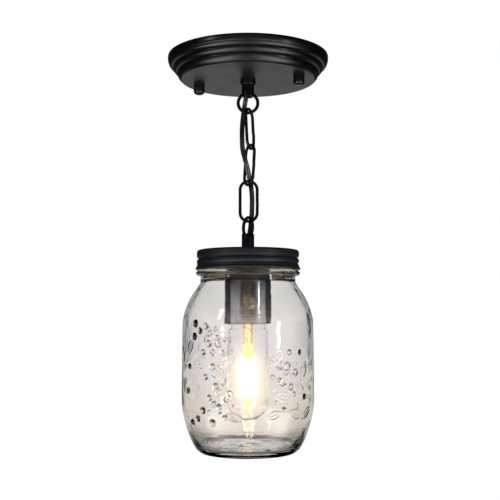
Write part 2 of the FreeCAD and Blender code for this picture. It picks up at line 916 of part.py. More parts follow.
pieces = {
    "ceiling_strap": ceiling_strap(),
    "swivel_eyelet": swivel_eyelet(),
    "stud_strap": stud_strap(),
    "canopy_studs": canopy_studs(),
    "stud_nuts": stud_nuts(),
    "ground_screw": ground_screw(),
    "canopy": canopy(),
    "cap_nut_left": cap_nut(-1),
    "cap_nut_right": cap_nut(1),
    "upper_loop": upper_loop(),
    "loop_washer": loop_washer(),
    "loop_nut": loop_nut(),
    "collar_ring": collar_ring(),
    "lead_live": lead(1),
    "lead_neutral": lead(-1),
    "lead_tips": lead_tips(),
    "cord": cord(),
    "lower_loop": lower_loop(),
    "lid_band": lid_band(),
    "lid_disc": lid_disc(),
    "jar_seal": jar_seal(),
    "jar": jar(),
    "socket_shell": socket_shell(),
    "socket_nut": socket_nut(),
    "socket_core": socket_core(),
    "screw_shell": screw_shell(),
    "centre_contact": centre_contact(),
    "terminal_screws": terminal_screws(),
    "socket_lead_live": socket_lead(1),
    "socket_lead_neutral": socket_lead(-1),
    "bulb_tip": bulb_tip(),
    "bulb_insulator": bulb_insulator(),
    "bulb_base": bulb_base(),
    "bulb_glass": bulb_glass(),
    "bulb_stem": bulb_stem(),
    "upper_carrier": upper_carrier(),
    "lower_carrier": lower_carrier(),
}
for name in link_turns:
    pieces["chain_link_" + name] = chain_link(name)
for number in range(filament_count):
    pieces["filament_" + "abcd"[number]] = filament(number)

os.makedirs("parts", exist_ok=True)
for node, shape in pieces.items():
    if not shape.isValid() or shape.Volume <= 0:
        print("check", node, shape.isValid(), shape.Volume)
    shape.exportStep("parts/" + node + ".step")
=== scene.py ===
import math

import bpy
import numpy as np
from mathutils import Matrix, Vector


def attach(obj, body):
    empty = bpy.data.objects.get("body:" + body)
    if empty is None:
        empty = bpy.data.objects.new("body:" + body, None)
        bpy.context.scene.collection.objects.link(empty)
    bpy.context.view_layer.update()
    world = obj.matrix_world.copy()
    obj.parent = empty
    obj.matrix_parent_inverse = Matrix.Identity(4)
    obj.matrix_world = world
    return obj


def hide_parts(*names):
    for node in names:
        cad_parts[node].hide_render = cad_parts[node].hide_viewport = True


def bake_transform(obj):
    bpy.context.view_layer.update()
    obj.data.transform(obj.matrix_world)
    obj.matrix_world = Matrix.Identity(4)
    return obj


# A jar pendant lamp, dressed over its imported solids. Lengths are millimetres, heights
# count from the ceiling, and MM turns both into Blender's metres. The floor and the
# softboxes are in metres.
MM = 0.001
TURN = 2 * math.pi

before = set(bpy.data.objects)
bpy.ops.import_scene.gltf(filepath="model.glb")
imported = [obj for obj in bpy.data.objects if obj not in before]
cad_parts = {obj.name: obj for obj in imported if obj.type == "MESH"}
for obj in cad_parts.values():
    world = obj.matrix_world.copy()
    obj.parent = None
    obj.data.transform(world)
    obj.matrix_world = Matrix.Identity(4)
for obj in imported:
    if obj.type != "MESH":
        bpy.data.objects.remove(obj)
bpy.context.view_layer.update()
scene = bpy.context.scene


# Sizes and places, as in the solids
PLATE_Z = -17.5
STUD_SPREAD, STUD_TURN = 40.0, math.radians(-20.6)
STUDS = [
    (side * STUD_SPREAD * math.cos(STUD_TURN), side * STUD_SPREAD * math.sin(STUD_TURN)) for side in (-1, 1)
]
LINK_TOPS = {"a": -39.15, "b": -66.45, "c": -93.75}
LINK_TURNS = {"a": 67.0, "b": -60.0, "c": 0.0}
LINK_TILTS = {"a": 2.8, "b": -3.2, "c": 0.0}
LINK_SHIFTS = {"a": 0.6, "b": 1.9, "c": 0.5}
LINK_SIDE, LINK_REACH, LINK_WIRE = 6.35, 30.0, 1.15
SEAM_LEANS = {"a": 0.65, "b": 0.25, "c": 0.1}
SEAM_SHARES = {"a": 0.32, "b": 0.55, "c": 0.42}
BAND_TOP, BAND_LOW = -145.4, -159.9
DISC_TOP, DISC_LOW = -145.9, -146.5
JAR_TOP, BEAD_TOP, NECK_TOP = -148.1, -160.2, -164.4
SOCKET_TOP, SOCKET_LOW = -146.5, -199.7
BULB_BASE_TOP, GLASS_TOP, BULB_LOW = -173.9, -195.9, -269.4
BULB_NECK, BULB_WALL, BULB_TUCK = 12.58, 0.9, 7.0
FILAMENT_TOP, FILAMENT_LOW, FILAMENT_RING = -226.6, -252.0, 4.8
CORD_ROUTE = [
    (0.0, 0.0, -6.0), (0.0, 0.0, -16.5), (-1.3, 0.2, -29.5), (-2.9, 3.4, -38.0), (-3.9, 3.0, -46.0),
    (-4.5, 1.0, -55.0), (-4.4, -0.7, -63.0), (-4.1, -1.3, -70.5), (-2.0, -0.8, -78.0), (-0.2, 1.0, -84.5),
    (1.0, 3.2, -90.5), (2.3, 3.7, -97.0), (3.1, 2.6, -105.0), (3.0, 2.1, -113.0), (2.8, 3.3, -119.5),
    (2.2, 3.3, -125.0), (1.4, 1.5, -130.5), (0.5, 0.4, -136.5), (0.0, 0.0, -146.5), (0.0, 0.0, -154.8),
]

# The jar's wall carries its cast relief where it is wider and lower than this
CARVED_RADIUS, CARVED_TOP = 46.0, -180.0

# Camera: the place, pitch and focal length that fit the photograph
PHOTO_PIXELS, FOCAL_PIXELS, SENSOR_WIDTH = 500.0, 893.0, 36.0
CAMERA_PLACE, CAMERA_PITCH = (1.5, -659.2, -195.4), 4.37

camera_data = bpy.data.cameras.new("camera")
camera_data.sensor_width = SENSOR_WIDTH
camera_data.lens = SENSOR_WIDTH * FOCAL_PIXELS / PHOTO_PIXELS
camera = bpy.data.objects.new("camera", camera_data)
camera.location = [length * MM for length in CAMERA_PLACE]
camera.rotation_euler = (math.radians(90 + CAMERA_PITCH), 0, 0)
scene.collection.objects.link(camera)
scene.camera = camera
scene.view_settings.view_transform = "Standard"


# Node trees
class Nodes:
    """A short way to write a node tree."""

    def __init__(self, tree):
        self.tree = tree

    def put(self, socket, value):
        """Links another socket into a socket, or sets its own value."""
        if isinstance(value, bpy.types.NodeSocket):
            self.tree.links.new(value, socket)
        else:
            socket.default_value = value

    def add(self, kind, inputs=(), **settings):
        node = self.tree.nodes.new(kind)
        for key, value in settings.items():
            setattr(node, key, value)
        for key, value in dict(inputs).items():
            self.put(node.inputs[key], value)
        return node

    def compute(self, operation, *values):
        return self.add("ShaderNodeMath", enumerate(values), operation=operation).outputs[0]

    def noise(self, coordinate, scale, detail=3.0, rough=0.5):
        inputs = {"Vector": coordinate, "Scale": scale, "Detail": detail, "Roughness": rough}
        return self.add("ShaderNodeTexNoise", inputs).outputs["Fac"]

    def ramp(self, value, span, result, shape="LINEAR"):
        """Takes a value from the span's two ends to the result's, and stays there beyond them."""
        inputs = {"Value": value, "From Min": span[0], "From Max": span[1]}
        inputs.update({"To Min": result[0], "To Max": result[1]})
        return self.add("ShaderNodeMapRange", inputs, interpolation_type=shape).outputs["Result"]

    def spread(self, noise, result, half=0.2):
        """Takes the middle of a noise's range, half to each side, to the result's two ends."""
        return self.ramp(noise, (0.5 - half, 0.5 + half), result)

    def mix(self, factor, first, second):
        """Two colours mixed by a factor."""
        return self.add("ShaderNodeMix", {0: factor, 6: first, 7: second}, data_type="RGBA").outputs[2]

    def choose(self, factor, first, second):
        """Two numbers mixed by a factor."""
        return self.add("ShaderNodeMix", {0: factor, 2: first, 3: second}, data_type="FLOAT").outputs[0]

    def bump(self, height, strength, distance, normal=None):
        inputs = {"Height": height, "Strength": strength, "Distance": distance}
        if normal is not None:
            inputs["Normal"] = normal
        return self.add("ShaderNodeBump", inputs).outputs["Normal"]


def emptied(owner):
    """The node tree of a new material or world, switched on and emptied."""
    owner.use_nodes = True
    owner.node_tree.nodes.clear()
    return Nodes(owner.node_tree)


def shader(name, sockets):
    """A material with one Principled shader, its nodes, object coordinates, shader's sockets and output."""
    material = bpy.data.materials.new(name)
    nodes = emptied(material)
    at = nodes.add("ShaderNodeTexCoord").outputs["Object"]
    principled = nodes.add("ShaderNodeBsdfPrincipled", sockets)
    out = nodes.add("ShaderNodeOutputMaterial", {"Surface": principled.outputs["BSDF"]})
    return material, nodes, at, principled.inputs, out


def reopened(material):
    """The nodes, object coordinates and shader's sockets of a finished material, to add to."""
    nodes = Nodes(material.node_tree)
    principled = next(node for node in material.node_tree.nodes if node.type == "BSDF_PRINCIPLED")
    return nodes, nodes.add("ShaderNodeTexCoord").outputs["Object"], principled.inputs


def rgb(red, green, blue):
    return (red, green, blue, 1.0)


# Kinds of material
def coated(name, dark, pale, rough, grain=1400.0, depth=0.03, patch=60.0, specular=0.5, metallic=0.0):
    """Powder coat, paint or moulding: a fine grain of the depth, and slow changes of tone and gloss."""
    sockets = {"Specular IOR Level": specular, "Metallic": metallic}
    material, nodes, at, look, _ = shader(name, sockets)
    grain_strength = 0.35
    slow = nodes.noise(at, patch)
    fine = nodes.noise(at, grain, detail=2.0)
    tone = nodes.spread(slow, (0.0, 1.0), half=0.15)
    nodes.put(look["Base Color"], nodes.mix(tone, dark, pale))
    nodes.put(look["Roughness"], nodes.spread(slow, rough))
    nodes.put(look["Normal"], nodes.bump(fine, grain_strength, depth * MM))
    return material


def metal(name, dark, pale, rough, stretch=(1.0, 1.0, 1.0), grain=900.0, depth=0.01, fade=None):
    """Bare metal, streaked where it is stretched. A fade paints shade, going from dark to pale between two
    heights.
    """
    material, nodes, at, look, _ = shader(name, {"Metallic": 1.0})
    patch, patch_share, streak_strength = 70.0, 0.2, 0.3
    scaled = nodes.add("ShaderNodeMapping", {"Vector": at, "Scale": stretch}).outputs["Vector"]
    streak = nodes.noise(scaled, grain, detail=4.0, rough=0.6)
    tone = nodes.spread(nodes.noise(at, patch), (0.0, 1.0))
    # Painted shade: the tone is lifted towards pale below the fade's first height.
    if fade:
        height = nodes.add("ShaderNodeSeparateXYZ", {0: at}).outputs["Z"]
        painted_shade_lift = nodes.ramp(height, (fade[0] * MM, fade[1] * MM), (0.0, 1 - patch_share))
        tone = nodes.compute("MULTIPLY_ADD", tone, patch_share, painted_shade_lift)
    nodes.put(look["Base Color"], nodes.mix(tone, dark, pale))
    nodes.put(look["Roughness"], nodes.spread(streak, rough))
    nodes.put(look["Normal"], nodes.bump(streak, streak_strength, depth * MM))
    return material


def clear(name, wave, wave_depth, tint=None, density=0.0, seeds=0.0, ior=1.5):
    """Solid glass: slow waves and finer ones in its skin, a tint in its depth and small seeds where asked."""
    sockets = {"Base Color": rgb(1.0, 1.0, 1.0), "Transmission Weight": 1.0, "IOR": ior, "Roughness": 0.0}
    material, nodes, at, look, out = shader(name, sockets)
    finer, shallower = 4.0, 9
    seed_radius, seed_strength, seed_depth = 0.07, 0.5, 0.05
    normal = nodes.bump(nodes.noise(at, wave, detail=1.5), 1.0, wave_depth * MM)
    ripple = nodes.noise(at, wave * finer, detail=2.0)
    normal = nodes.bump(ripple, 1.0, wave_depth * MM / shallower, normal)
    if seeds:
        cells = {"Vector": at, "Scale": seeds, "Randomness": 1.0}
        dots = nodes.add("ShaderNodeTexVoronoi", cells).outputs["Distance"]
        near = nodes.ramp(dots, (0.0, seed_radius), (1.0, 0.0))
        normal = nodes.bump(near, seed_strength, seed_depth * MM, normal)
    nodes.put(look["Normal"], normal)
    if density:
        depth = nodes.add("ShaderNodeVolumeAbsorption", {"Color": tint, "Density": density})
        nodes.put(out.inputs["Volume"], depth.outputs["Volume"])
    return material


def painted_filament_glow(material, color, top, low, strength, edge, fall=1.0, haze=0.0):
    """Paints the filaments' warm glow into a glass as its own emission, though the glass is no lamp: full at
    their height, gone at the top and low heights and fading towards the edges. A haze roughens the glass
    where the painted glow is strong."""
    nodes, at, look = reopened(material)
    haze_from = 0.5
    height = nodes.add("ShaderNodeSeparateXYZ", {0: at}).outputs["Z"]
    above = nodes.ramp(height, (top * MM, FILAMENT_TOP * MM), (0.0, 1.0))
    below = nodes.ramp(height, (FILAMENT_LOW * MM, low * MM), (1.0, 0.0))
    near = nodes.compute("POWER", nodes.compute("MINIMUM", above, below), fall)
    if haze:
        nodes.put(look["Roughness"], nodes.ramp(near, (haze_from, 1.0), (0.0, haze)))
    # The painted glow fades out where the glass turns edge-on.
    facing = nodes.add("ShaderNodeLayerWeight", {"Blend": 0.5}).outputs["Facing"]
    near = nodes.compute("MULTIPLY", near, nodes.ramp(facing, (0.0, edge), (1.0, 0.0)))
    # Painted glow: an emission colour and strength on the glass, not light from a lamp.
    look["Emission Color"].default_value = color
    nodes.put(look["Emission Strength"], nodes.compute("MULTIPLY", near, strength))


def painted_glints(material, color, scale, low, high):
    """Paints small bright glints of the filaments into a glass as emission spots: painted highlights, not
    reflections.
    """
    nodes, at, look = reopened(material)
    dark_under, bright_over = 0.44, 0.62
    painted_glint_spots = nodes.noise(at, scale, rough=0.6)
    look["Emission Color"].default_value = color
    nodes.put(look["Emission Strength"], nodes.ramp(painted_glint_spots, (dark_under, bright_over), (low, high)))


def glowing(name, color, strength, paler):
    """A glowing skin, a little paler in patches: the filaments' own light, and painted glow on the stem tip
    and the wires, which are no lamps.
    """
    sockets = {"Base Color": color, "Roughness": 0.5, "Emission Color": color, "Emission Strength": strength}
    material, nodes, at, look, _ = shader(name, sockets)
    patch = 500.0
    patches = nodes.spread(nodes.noise(at, patch), (0.0, 1.0))
    nodes.put(look["Emission Color"], nodes.mix(patches, color, paler))
    return material


# Paints and mouldings
COAT = coated(
    "coat_black", rgb(0.0026, 0.0026, 0.0028), rgb(0.004, 0.004, 0.0042), rough=(0.25, 0.31), specular=0.46
)
PLATE = coated(
    "coat_black_plate", rgb(0.008, 0.008, 0.0078), rgb(0.011, 0.011, 0.0105), rough=(0.36, 0.42),
    specular=0.44,
)
CHAIN = coated(
    "coat_black_chain", rgb(0.004, 0.004, 0.0044), rgb(0.007, 0.007, 0.0075), rough=(0.22, 0.28),
    grain=1100.0, depth=0.002, patch=90.0, specular=0.15,
)
LID = coated(
    "enamel_black_lid", rgb(0.0125, 0.0145, 0.0185), rgb(0.0155, 0.0175, 0.022), rough=(0.42, 0.5),
    grain=1700.0, patch=45.0, specular=0.4,
)
LINER = coated(
    "cream_liner", rgb(0.84, 0.8, 0.72), rgb(0.92, 0.88, 0.8), rough=(0.3, 0.4), grain=1500.0, depth=0.01
)
GREEN = coated("screw_green", rgb(0.02, 0.16, 0.05), rgb(0.03, 0.22, 0.07), rough=(0.3, 0.4), metallic=0.6)
RUBBER = coated(
    "rubber_seal", rgb(0.02, 0.02, 0.02), rgb(0.035, 0.034, 0.033), rough=(0.6, 0.75),
    grain=2400.0, depth=0.05,
)
CORD = coated(
    "cord_black", rgb(0.009, 0.009, 0.0095), rgb(0.013, 0.013, 0.0135), rough=(0.2, 0.24),
    grain=400.0, depth=0.0005, specular=1.0,
)
WHITE = coated(
    "lead_white", rgb(0.62, 0.61, 0.58), rgb(0.7, 0.69, 0.66), rough=(0.3, 0.42), grain=1800.0, depth=0.02
)
PORCELAIN = coated("porcelain", rgb(0.72, 0.7, 0.66), rgb(0.8, 0.79, 0.75), rough=(0.14, 0.24), grain=300.0)
VITRITE = coated(
    "vitrite", rgb(0.008, 0.008, 0.01), rgb(0.014, 0.014, 0.018), rough=(0.08, 0.16), grain=300.0, depth=0.02
)

# Metals
# The socket's fade is painted shade and reflection: dark at its top under the lid, paler lower down.
GUNMETAL = metal(
    "gunmetal", rgb(0.03, 0.031, 0.033), rgb(0.56, 0.58, 0.6), rough=(0.08, 0.16), stretch=(1.0, 1.0, 0.6),
    grain=260.0, depth=0.02, fade=(-171.0, -196.0),
)
ZINC = metal(
    "zinc_plate", rgb(0.5, 0.5, 0.49), rgb(0.62, 0.62, 0.6), rough=(0.28, 0.42), stretch=(0.08, 1.0, 1.0)
)
BRASS = metal(
    "brass", rgb(0.62, 0.46, 0.2), rgb(0.72, 0.56, 0.27), rough=(0.22, 0.36), stretch=(1.0, 1.0, 0.2)
)
COPPER = metal(
    "copper_strand", rgb(0.6, 0.3, 0.17), rgb(0.72, 0.4, 0.24), rough=(0.25, 0.4), stretch=(1.0, 1.0, 0.1),
    grain=2500.0, depth=0.05,
)
SOLDER = metal(
    "tinned", rgb(0.42, 0.42, 0.42), rgb(0.55, 0.55, 0.55), rough=(0.3, 0.5), grain=1500.0, depth=0.03
)

# Glass
JAR_GLASS = clear(
    "jar_glass", wave=48.0, wave_depth=0.55, tint=rgb(0.45, 0.43, 0.42), density=44.0, seeds=90.0
)
# Painted glow: the jar's glass emits a faint warm light around the filaments' height, though it is no lamp.
painted_filament_glow(JAR_GLASS, rgb(1.0, 0.45, 0.36), top=-165.0, low=-300.0, strength=0.018, edge=0.25)
BULB_GLASS = clear("bulb_glass", wave=40.0, wave_depth=0.03, ior=1.13)
# Painted glow: the bulb's clear glass emits a warm light around the filaments, standing in for their glare.
painted_filament_glow(
    BULB_GLASS, rgb(1.0, 0.66, 0.4), top=-200.0, low=-275.0, strength=0.1, edge=0.45, fall=1.6, haze=0.36
)
STEM_GLASS = clear("stem_glass", wave=260.0, wave_depth=0.5, tint=rgb(1.0, 0.6, 0.26), density=90.0)
# Painted glints: golden emission spots in the stem's glass.
painted_glints(STEM_GLASS, rgb(1.0, 0.62, 0.2), scale=650.0, low=0.03, high=0.75)

# Glowing parts of the bulb: the filaments are its lamp, while the stem tip and the wires glow with painted
# light
FILAMENT = glowing("filament_lit", rgb(1.0, 0.82, 0.54), 60.0, rgb(1.0, 0.88, 0.64))
# Painted glow on the stem's tip, which is glass and no lamp.
STEM_TIP_PAINTED_GLOW = glowing("stem_tip_painted_glow", rgb(1.0, 0.82, 0.5), 3.0, rgb(1.0, 0.88, 0.6))
# Painted glow on the wires and carriers, which are no lamps.
GOLD_WIRE_PAINTED_GLOW = glowing("wire_painted_glow", rgb(1.0, 0.56, 0.12), 1.5, rgb(1.0, 0.74, 0.28))


# Mesh tools
def bend(corner, end):
    """A profile step: a quarter-round curve towards the corner and on to the end."""
    return ("bend", corner, end)


def profile(start, *steps, fineness=8):
    """The (radius, height) points of an outline with bends."""
    points = [np.array(start, float)]
    for step in steps:
        if step[0] == "bend":
            here, corner, end = points[-1], np.array(step[1], float), np.array(step[2], float)
            for k in range(1, fineness + 1):
                t = k / fineness
                a, b, c = (1 - t) ** 2, 2 * t * (1 - t) * math.sqrt(0.5), t * t
                points.append((a * here + b * corner + c * end) / (a + b + c))
        else:
            points.append(np.array(step, float))
    return np.array(points)


def divided(points, longest):
    """The outline with its runs cut into pieces no longer than longest(here, after)."""
    out = []
    for here, after in zip(points, np.roll(points, -1, axis=0)):
        count = max(1, math.ceil(np.hypot(*(after - here)) / longest(here, after)))
        out += [here + (after - here) * k / count for k in range(count)]
    return np.array(out)


def make(name, points, faces, sharp=32.0):
    """A mesh object from points in millimetres, creased where faces meet at over the sharp angle."""
    mesh = bpy.data.meshes.new(name)
    mesh.from_pydata((np.asarray(points, float) * MM).tolist(), [], faces)
    mesh.shade_smooth()
    mesh.set_sharp_from_angle(angle=math.radians(sharp))
    piece = bpy.data.objects.new(name, mesh)
    scene.collection.objects.link(piece)
    return piece


def turned(name, points, segments=128, relief=None, sharp=32.0, place=(0.0, 0.0)):
    """A closed outline turned about Z. relief(angles, radius, height) gives each ring's change of radius."""
    area = np.sum(points[:, 0] * np.roll(points[:, 1], -1) - np.roll(points[:, 0], -1) * points[:, 1])
    if area < 0:
        points = points[::-1]
    on_axis = 1e-6
    angles = np.arange(segments) * TURN / segments
    rings, verts = [], []
    for radius, height in points:
        if radius < on_axis:
            rings.append([len(verts)])
            verts.append((place[0], place[1], height))
            continue
        out = np.full(segments, radius)
        if relief is not None:
            out = out + relief(angles, radius, height)
        rings.append(range(len(verts), len(verts) + segments))
        across, along = place[0] + out * np.cos(angles), place[1] + out * np.sin(angles)
        verts += list(zip(across, along, np.full(segments, height)))
    faces = []
    for low, high in zip(rings, rings[1:] + rings[:1]):
        for a in range(segments):
            b = (a + 1) % segments
            if len(low) > 1 and len(high) > 1:
                faces.append((low[a], low[b], high[b], high[a]))
            elif len(low) > 1:
                faces.append((low[a], low[b], high[0]))
            elif len(high) > 1:
                faces.append((low[0], high[b], high[a]))
    return make(name, verts, faces, sharp)


def directions(path):
    """The direction along each point of a path."""
    along = np.gradient(np.asarray(path, float), axis=0)
    return along / np.linalg.norm(along, axis=1)[:, None]


def carried_frames(path):
    """Two directions across each point of a path, carried along it without twist."""
    along = directions(path)
    first = np.cross(along[0], (0.0, 1.0, 0.0))
    sides = [first / np.linalg.norm(first)]
    for direction in along[1:]:
        side = sides[-1] - direction * np.dot(sides[-1], direction)
        sides.append(side / np.linalg.norm(side))
    sides = np.array(sides)
    return sides, np.cross(along, sides)


def flat_frames(path):
    """Two directions across each point of a path, the first always square to Y."""
    along = directions(path)
    sides = np.cross(along, (0.0, 1.0, 0.0))
    sides /= np.linalg.norm(sides, axis=1)[:, None]
    return sides, np.cross(along, sides)


def swept(name, path, section, turns=None, sharp=50.0, cross=None):
    """A section of (a, b) points carried along an open path, turned about it and capped at both ends."""
    path = np.asarray(path, float)
    side, rise = cross if cross is not None else carried_frames(path)
    count = len(section)
    verts = []
    for k, centre in enumerate(path):
        turn = 0.0 if turns is None else turns[k]
        a = side[k] * math.cos(turn) + rise[k] * math.sin(turn)
        b = rise[k] * math.cos(turn) - side[k] * math.sin(turn)
        verts += [centre + a * x + b * y for x, y in section]
    faces = []
    for k in range(len(path) - 1):
        for i in range(count):
            j = (i + 1) % count
            faces.append((k * count + i, k * count + j, (k + 1) * count + j, (k + 1) * count + i))
    last = (len(path) - 1) * count
    faces.append(tuple(range(count))[::-1])
    faces.append(tuple(range(last, last + count)))
    return make(name, verts, faces, sharp)


def circle(radius, count):
    return [(radius * math.cos(k * TURN / count), radius * math.sin(k * TURN / count)) for k in range(count)]


def joined(name, *pieces):
    """The pieces as one object."""
    with bpy.context.temp_override(active_object=pieces[0], selected_editable_objects=list(pieces)):
        bpy.ops.object.join()
    pieces[0].name = name
    pieces[0].data.name = name
    return pieces[0]


def dress(piece, material, body, slot, *nodes):
    """Gives a piece its material and body, and hides the solids it stands for. The slot is not used."""
    piece.data.materials.clear()
    piece.data.materials.append(material)
    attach(piece, body)
    if nodes:
        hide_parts(*nodes)
    return piece


def line_faces(piece, material, inside):
    """Gives the faces that inside(face) picks out a second material."""
    piece.data.materials.append(material)
    for face in piece.data.polygons:
        if inside(face):
            face.material_index = 1


def thread(pitch, depth, low, high, start=0.0, width=0.5, fade=1.0):
    """A relief: a helical ridge of the depth, between two heights, faded at both ends."""

    def relief(angles, radius, height):
        phase = (height - start) / pitch - angles / TURN
        near = np.abs(phase - np.round(phase)) / (width / 2)
        ridge = np.where(near < 1, 0.5 + 0.5 * np.cos(np.pi * near), 0.0)
        ends = np.clip((height - low) / fade, 0, 1) * np.clip((high - height) / fade, 0, 1)
        return depth * ridge * ends

    return relief


# Cord
def cord_line():
    """The cord's centre line: a smooth spline with the route as its control points."""
    curve = bpy.data.curves.new("cord_line", "CURVE")
    curve.dimensions = "3D"
    curve.resolution_u = 12
    spline = curve.splines.new("NURBS")
    spline.points.add(len(CORD_ROUTE) - 1)
    for point, place in zip(spline.points, CORD_ROUTE):
        point.co = (*place, 1.0)
    spline.order_u = 3
    spline.use_endpoint_u = True
    holder = bpy.data.objects.new("cord_line", curve)
    scene.collection.objects.link(holder)
    bpy.context.view_layer.update()
    mesh = bpy.data.meshes.new_from_object(holder)
    line = np.array([v.co for v in mesh.vertices])
    bpy.data.objects.remove(holder)
    bpy.data.meshes.remove(mesh)
    return line if line[0][2] > line[-1][2] else line[::-1]


def twin_section():
    """Two round strands side by side, each drawn as an arc and joined by a thin web."""
    strand, apart, half_arc, count = 0.88, 0.92, 160, 14
    points = []
    for side in (1, -1):
        for k in range(count + 1):
            angle = math.radians(-half_arc + 2 * half_arc * k / count)
            x, y = apart + strand * math.cos(angle), strand * math.sin(angle)
            points.append((side * x, side * y))
    return points


def dress_cord():
    """Four runs of one cord, cut at heights between its joints."""
    line = cord_line()
    side, rise = flat_frames(line)
    turn_heights, turn_degrees = (-155, -128, -112, -95, -75, -62, -20), (30, 24, -6, 4, 12, 0, -4)
    turns = np.radians(np.interp(line[:, 2], turn_heights, turn_degrees))
    cuts = [0.0, -55.5, -82.8, -110.1, -200.0]
    joints = [-41.95, -69.11, -96.4, -123.75]
    for part, joint in enumerate(joints):
        inside = np.where((line[:, 2] <= cuts[part]) & (line[:, 2] >= cuts[part + 1]))[0]
        first = inside[0] - 1 if part else inside[0]
        run = slice(first, inside[-1] + 1)
        cross = (side[run], rise[run])
        piece = swept("cord_%d" % (part + 1), line[run], twin_section(), turns[run], sharp=60.0, cross=cross)
        piece.data.materials.append(CORD)
        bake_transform(piece)
        if part == 0:
            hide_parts("cord")


# Canopy
def dress_canopy():
    """The spun shell with its three ribs, and a greyer black on its flat plate."""
    rim, sheet, swell, hole = 60.1, 0.8, 1.8, 4.0
    lip, lip_side, lip_end = 0.15, -1.8, -4.3
    grooves = np.array([(59.45, -4.8), (56.3, -8.2), (53.2, -12.1), (49.9, PLATE_Z)])
    crests = []
    for upper, lower in zip(grooves, grooves[1:]):
        out = np.array((upper[1] - lower[1], lower[0] - upper[0])) / np.hypot(*(lower - upper))
        crests.append((upper + lower) / 2 + out * swell)
    inward = np.array((-sheet, sheet))
    points = profile(
        (rim - sheet, -lip), (rim - 4 * lip, 0.0), (rim - 2 * lip, 0.0), (rim - lip, -2 * lip),
        (rim, lip_side), bend((rim, lip_end), grooves[0]),
        *[bend(crest, groove) for crest, groove in zip(crests, grooves[1:])],
        (hole, PLATE_Z), (hole, PLATE_Z + sheet), grooves[-1] + inward,
        *[bend(crest + inward, groove + inward) for crest, groove in zip(crests[::-1], grooves[-2::-1])],
        fineness=10,
    )
    shell = turned("canopy_shell", points, segments=224, sharp=24.0)
    dress(shell, COAT, "canopy_body", "black_coat", "canopy")
    level, near = -0.98, 0.1 * MM
    line_faces(shell, PLATE, lambda face: face.normal.z < level and abs(face.center.z - PLATE_Z * MM) < near)


def dress_cap_nuts():
    """Two domed nuts, with a groove round each foot."""
    radius, waist, tip = 4.2, 3.95, 1.05
    foot, waist_top, waist_low, flank_top, flank_low, height = 1.6, 1.8, 2.6, 2.8, 4.7, 7.3
    for place, name in zip(STUDS, ("cap_nut_left", "cap_nut_right")):
        points = profile(
            (0, PLATE_Z), (radius, PLATE_Z), (radius, PLATE_Z - foot), (waist, PLATE_Z - waist_top),
            (waist, PLATE_Z - waist_low), (radius, PLATE_Z - flank_top), (radius, PLATE_Z - flank_low),
            bend((radius, PLATE_Z - height), (tip, PLATE_Z - height)), (0, PLATE_Z - height),
        )
        nut = turned(name + "_shell", points, segments=40, place=place)
        dress(nut, COAT, "canopy_body", "black_coat", name)


def dress_studs():
    """Two threaded studs."""
    radius, chamfer, top, low = 2.0, 0.4, -1.8, -22.3
    pitch, cut, run_out, fine = 0.7, -0.3, 0.1, 0.14
    points = profile(
        (0, low), (radius - chamfer, low), (radius, low + chamfer), (radius, top - chamfer),
        (radius - chamfer, top), (0, top),
    )
    points = divided(points, lambda here, after: fine)
    screw = thread(pitch, cut, low + run_out, top - run_out, width=0.9, fade=0.5)
    studs = [turned("stud", points, segments=28, relief=screw, sharp=60.0, place=place) for place in STUDS]
    dress(joined("stud_threads", *studs), ZINC, "canopy_body", "zinc_steel", "canopy_studs")


def dress_collar():
    """The ring between the canopy's plate and the upper loop."""
    bore, radius, edge, height = 4.67, 5.75, 0.5, 3.6
    top, low = PLATE_Z, PLATE_Z - height
    points = profile(
        (bore, top), (radius, top), (radius, low + edge), bend((radius, low), (radius - edge, low)),
        (bore, low),
    )
    dress(turned("collar_shell", points, segments=64), COAT, "canopy_body", "black_coat", "collar_ring")


# Loops and chain
def dress_loop(name, seat, down, tube, stem, turn, body):
    """A wire ring on a tube with a hollow stem; down is -1 where it hangs, 1 where it stands."""
    bore, cup, stem_radius, tube_radius = 2.6, 3.6, 3.9, 4.65
    chamfer, rounding, cup_depth = 0.3, 0.6, 8.8
    ring, ring_rise, gap = 7.35, 4.6, 4.125
    wire, steps, wire_steps = 1.25, 72, 20

    def level(height):
        return seat + down * height

    points = profile(
        (bore, level(-stem)), (stem_radius - chamfer, level(-stem)), (stem_radius, level(chamfer - stem)),
        (stem_radius, level(0)), (tube_radius, level(0)), (tube_radius, level(tube - rounding)),
        bend((tube_radius, level(tube)), (tube_radius - rounding, level(tube))), (cup, level(tube)),
        (cup, level(tube - cup_depth)), (bore, level(tube - cup_depth - (cup - bore))),
    )
    barrel = turned(name + "_tube", points, segments=64)
    centre = level(tube + ring_rise)
    start = math.asin(gap / ring)
    bearing = math.radians(turn)
    path = []
    for angle in np.linspace(start, TURN - start, steps):
        out, height = ring * math.sin(angle), centre - down * ring * math.cos(angle)
        path.append((out * math.cos(bearing), out * math.sin(bearing), height))
    hoop = swept(name + "_ring", path, circle(wire, wire_steps))
    dress(joined(name + "_shell", barrel, hoop), CHAIN, body, "black_coat", name)


